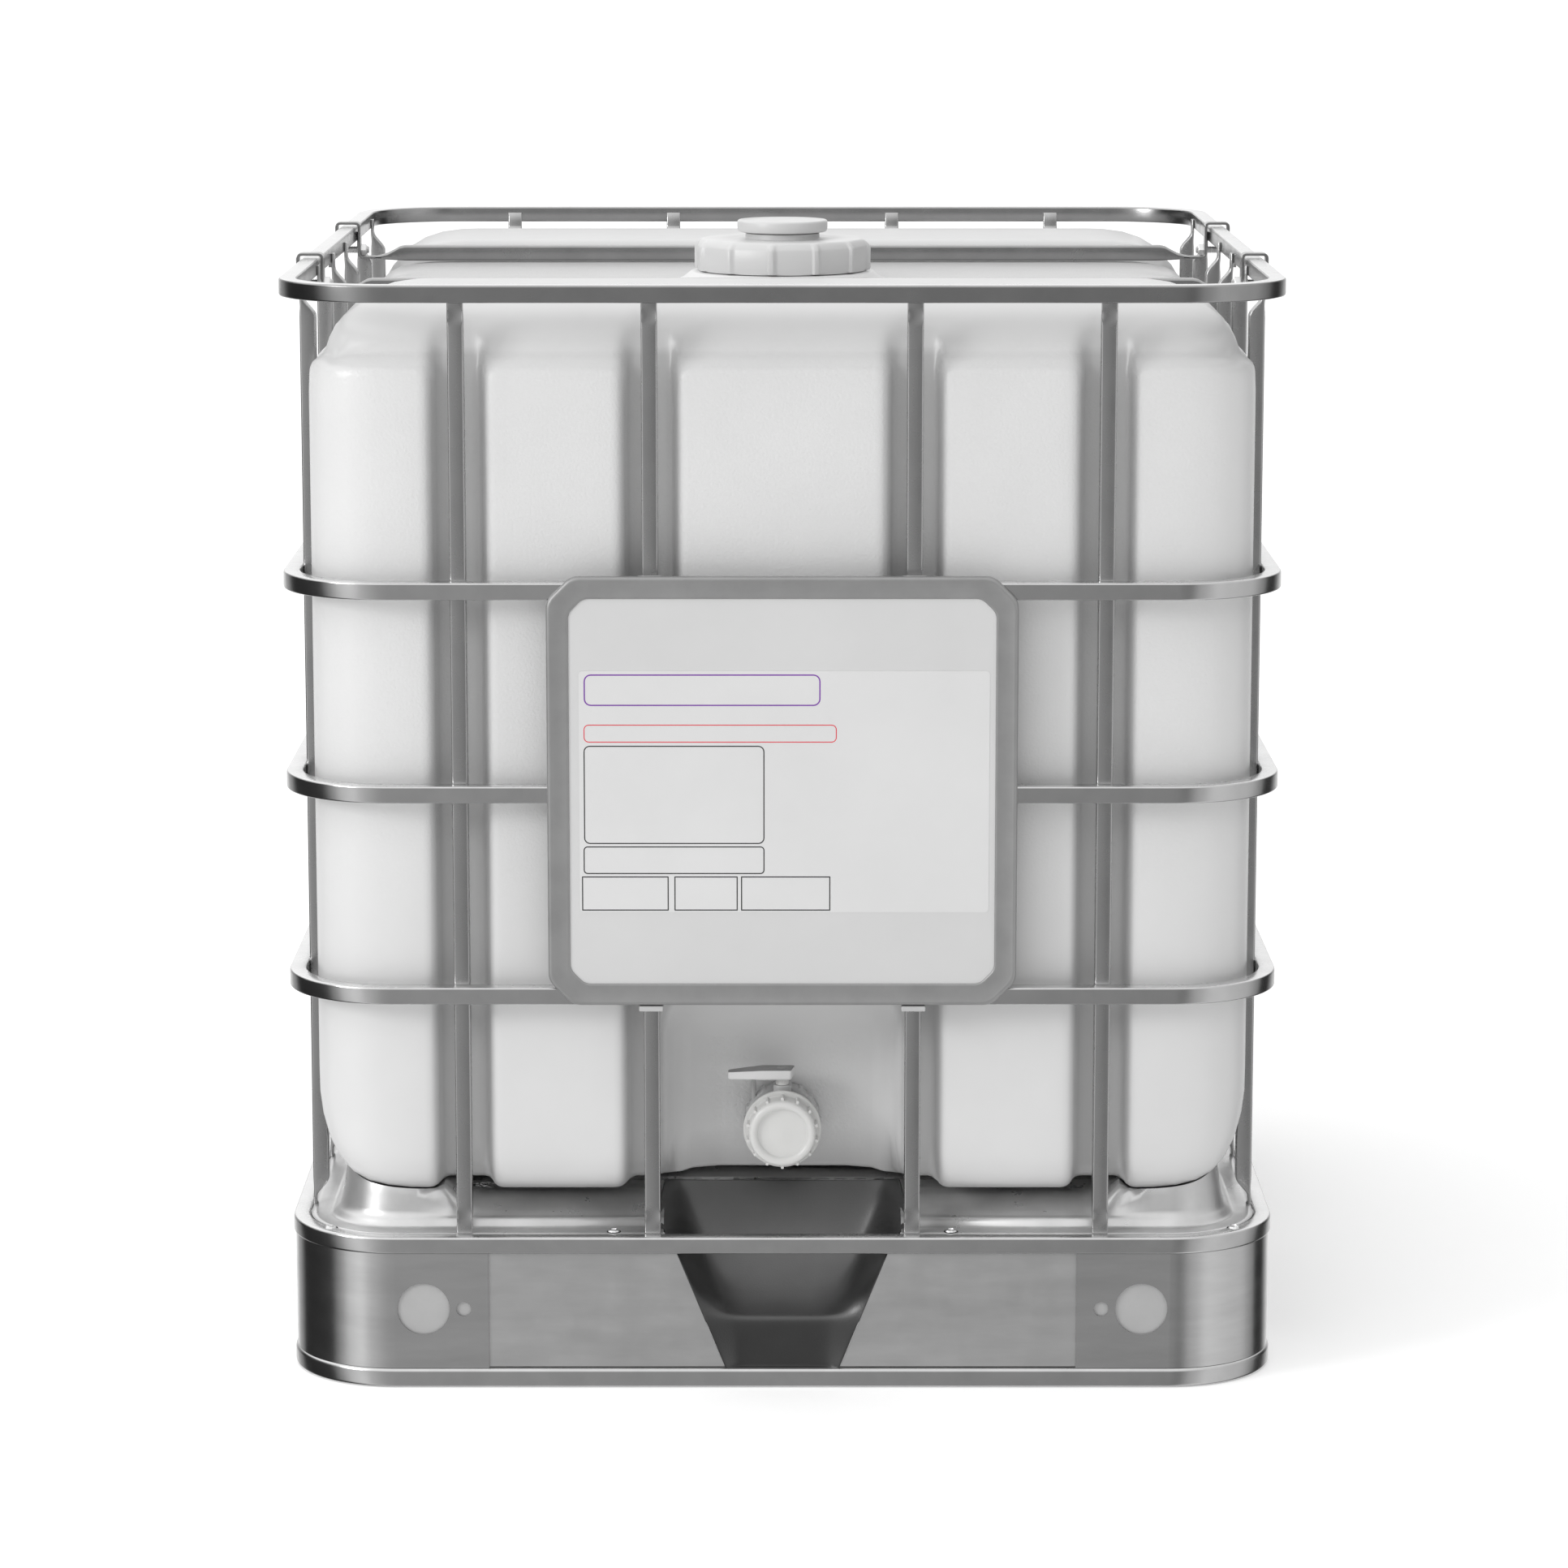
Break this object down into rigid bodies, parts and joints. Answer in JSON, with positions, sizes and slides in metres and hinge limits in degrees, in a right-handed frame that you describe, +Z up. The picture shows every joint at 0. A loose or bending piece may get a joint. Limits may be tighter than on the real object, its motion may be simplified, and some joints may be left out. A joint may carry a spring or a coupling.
{
  "type": "intermediate bulk container",
  "caption": "Large liquid container: a white plastic bottle in a tubular steel cage on a steel pallet, with a screw lid on top and a lever valve at the front.",
  "frame": {"origin": "centre of the pallet's footprint, on the ground", "axes": "+Z up, -Y towards the outlet valve, +X to the right seen from the valve side"},
  "size_m": [1.017, 1.208, 1.1348],
  "materials": {
    "bottle_plastic": "satin blow-moulded polyethylene",
    "cap_plastic": "satin moulded polyethylene",
    "seal_rubber": "matt",
    "valve_plastic": "satin moulded plastic",
    "lever_plastic": "satin moulded plastic",
    "zinc_bolt": "bright zinc",
    "galvanised_tube": "satin galvanised",
    "plate_steel": "satin galvanised",
    "panel_paint": "matt light grey",
    "label_film": "satin film",
    "clip_plastic": "satin",
    "pan_steel": "bright galvanised sheet",
    "chute_plastic": "satin black",
    "skirt_steel": "satin galvanised sheet"
  },
  "bodies": {
    "container": {"bottle": "bottle_plastic", "valve_flange_seal": "seal_rubber", "valve_seat": "seal_rubber", "valve_body": "valve_plastic", "valve_union_nut": "valve_plastic", "tie_bolts": "zinc_bolt", "tie_nuts": "zinc_bolt", "pan_screws": "zinc_bolt", "top_rail": "galvanised_tube", "upper_rail": "galvanised_tube", "middle_rail": "galvanised_tube", "lower_rail": "galvanised_tube", "foot_rail": "galvanised_tube", "pallet_runner": "galvanised_tube", "front_tie_bar": "galvanised_tube", "rear_tie_bar": "galvanised_tube", "front_upright_1": "galvanised_tube", "front_upright_2": "galvanised_tube", "front_upright_3": "galvanised_tube", "front_upright_4": "galvanised_tube", "rear_upright_1": "galvanised_tube", "rear_upright_2": "galvanised_tube", "rear_upright_3": "galvanised_tube", "rear_upright_4": "galvanised_tube", "left_upright_1": "galvanised_tube", "left_upright_2": "galvanised_tube", "left_upright_3": "galvanised_tube", "left_upright_4": "galvanised_tube", "left_upright_5": "galvanised_tube", "left_upright_6": "galvanised_tube", "right_upright_1": "galvanised_tube", "right_upright_2": "galvanised_tube", "right_upright_3": "galvanised_tube", "right_upright_4": "galvanised_tube", "right_upright_5": "galvanised_tube", "right_upright_6": "galvanised_tube", "label_plate": "plate_steel", "label_panel": "panel_paint", "label_sheet": "label_film", "plate_clips": "clip_plastic", "base_pan": "pan_steel", "chute": "chute_plastic", "front_left_skirt": "skirt_steel", "front_right_skirt": "skirt_steel", "rear_left_skirt": "skirt_steel", "rear_right_skirt": "skirt_steel", "front_panels": "skirt_steel", "corner_posts": "skirt_steel", "middle_feet": "skirt_steel", "deck_beams": "skirt_steel"},
    "lid_lift": {"lid_seal": "seal_rubber"},
    "lid": {"lid": "cap_plastic"},
    "vent_lift": {"vent_seal": "seal_rubber"},
    "vent": {"vent_plug": "cap_plastic"},
    "cap_slide": {"outlet_cap_seal": "seal_rubber"},
    "cap": {"outlet_cap": "cap_plastic"},
    "lever": {"valve_lever": "lever_plastic", "valve_stem": "valve_plastic", "valve_disc": "valve_plastic", "lever_screw": "zinc_bolt"}
  },
  "joints": [
    {"name": "lid_rise", "type": "slide", "parent": "container", "child": "lid_lift", "axis": [0, 0, 1], "range_m": [0, 0.0281]},
    {"name": "lid_turn", "type": "hinge", "parent": "lid_lift", "child": "lid", "pos_m": [0, 0, 1.1], "axis": [0, 0, 1], "range_deg": [0, 1440]},
    {"name": "vent_rise", "type": "slide", "parent": "lid", "child": "vent_lift", "axis": [0, 0, 1], "range_m": [0, 0.0201]},
    {"name": "vent_turn", "type": "hinge", "parent": "vent_lift", "child": "vent", "pos_m": [0, 0, 1.12], "axis": [0, 0, 1], "range_deg": [0, 1800]},
    {"name": "cap_out", "type": "slide", "parent": "container", "child": "cap_slide", "axis": [0, -1, 0], "range_m": [0, 0.0181]},
    {"name": "cap_turn", "type": "hinge", "parent": "cap_slide", "child": "cap", "pos_m": [0, -0.56, 0.257], "axis": [0, -1, 0], "range_deg": [0, 1080]},
    {"name": "valve_lever_turn", "type": "hinge", "parent": "container", "child": "lever", "pos_m": [0, -0.536, 0.257], "axis": [0, 0, 1], "range_deg": [0, 90]}
  ],
  "couplings": [
    {"joint": "lid_rise", "follows": "lid_turn", "m_per_rad": 0.0011141},
    {"joint": "vent_rise", "follows": "vent_turn", "m_per_rad": 0.00063662},
    {"joint": "cap_out", "follows": "cap_turn", "m_per_rad": 0.00095493}
  ]
}
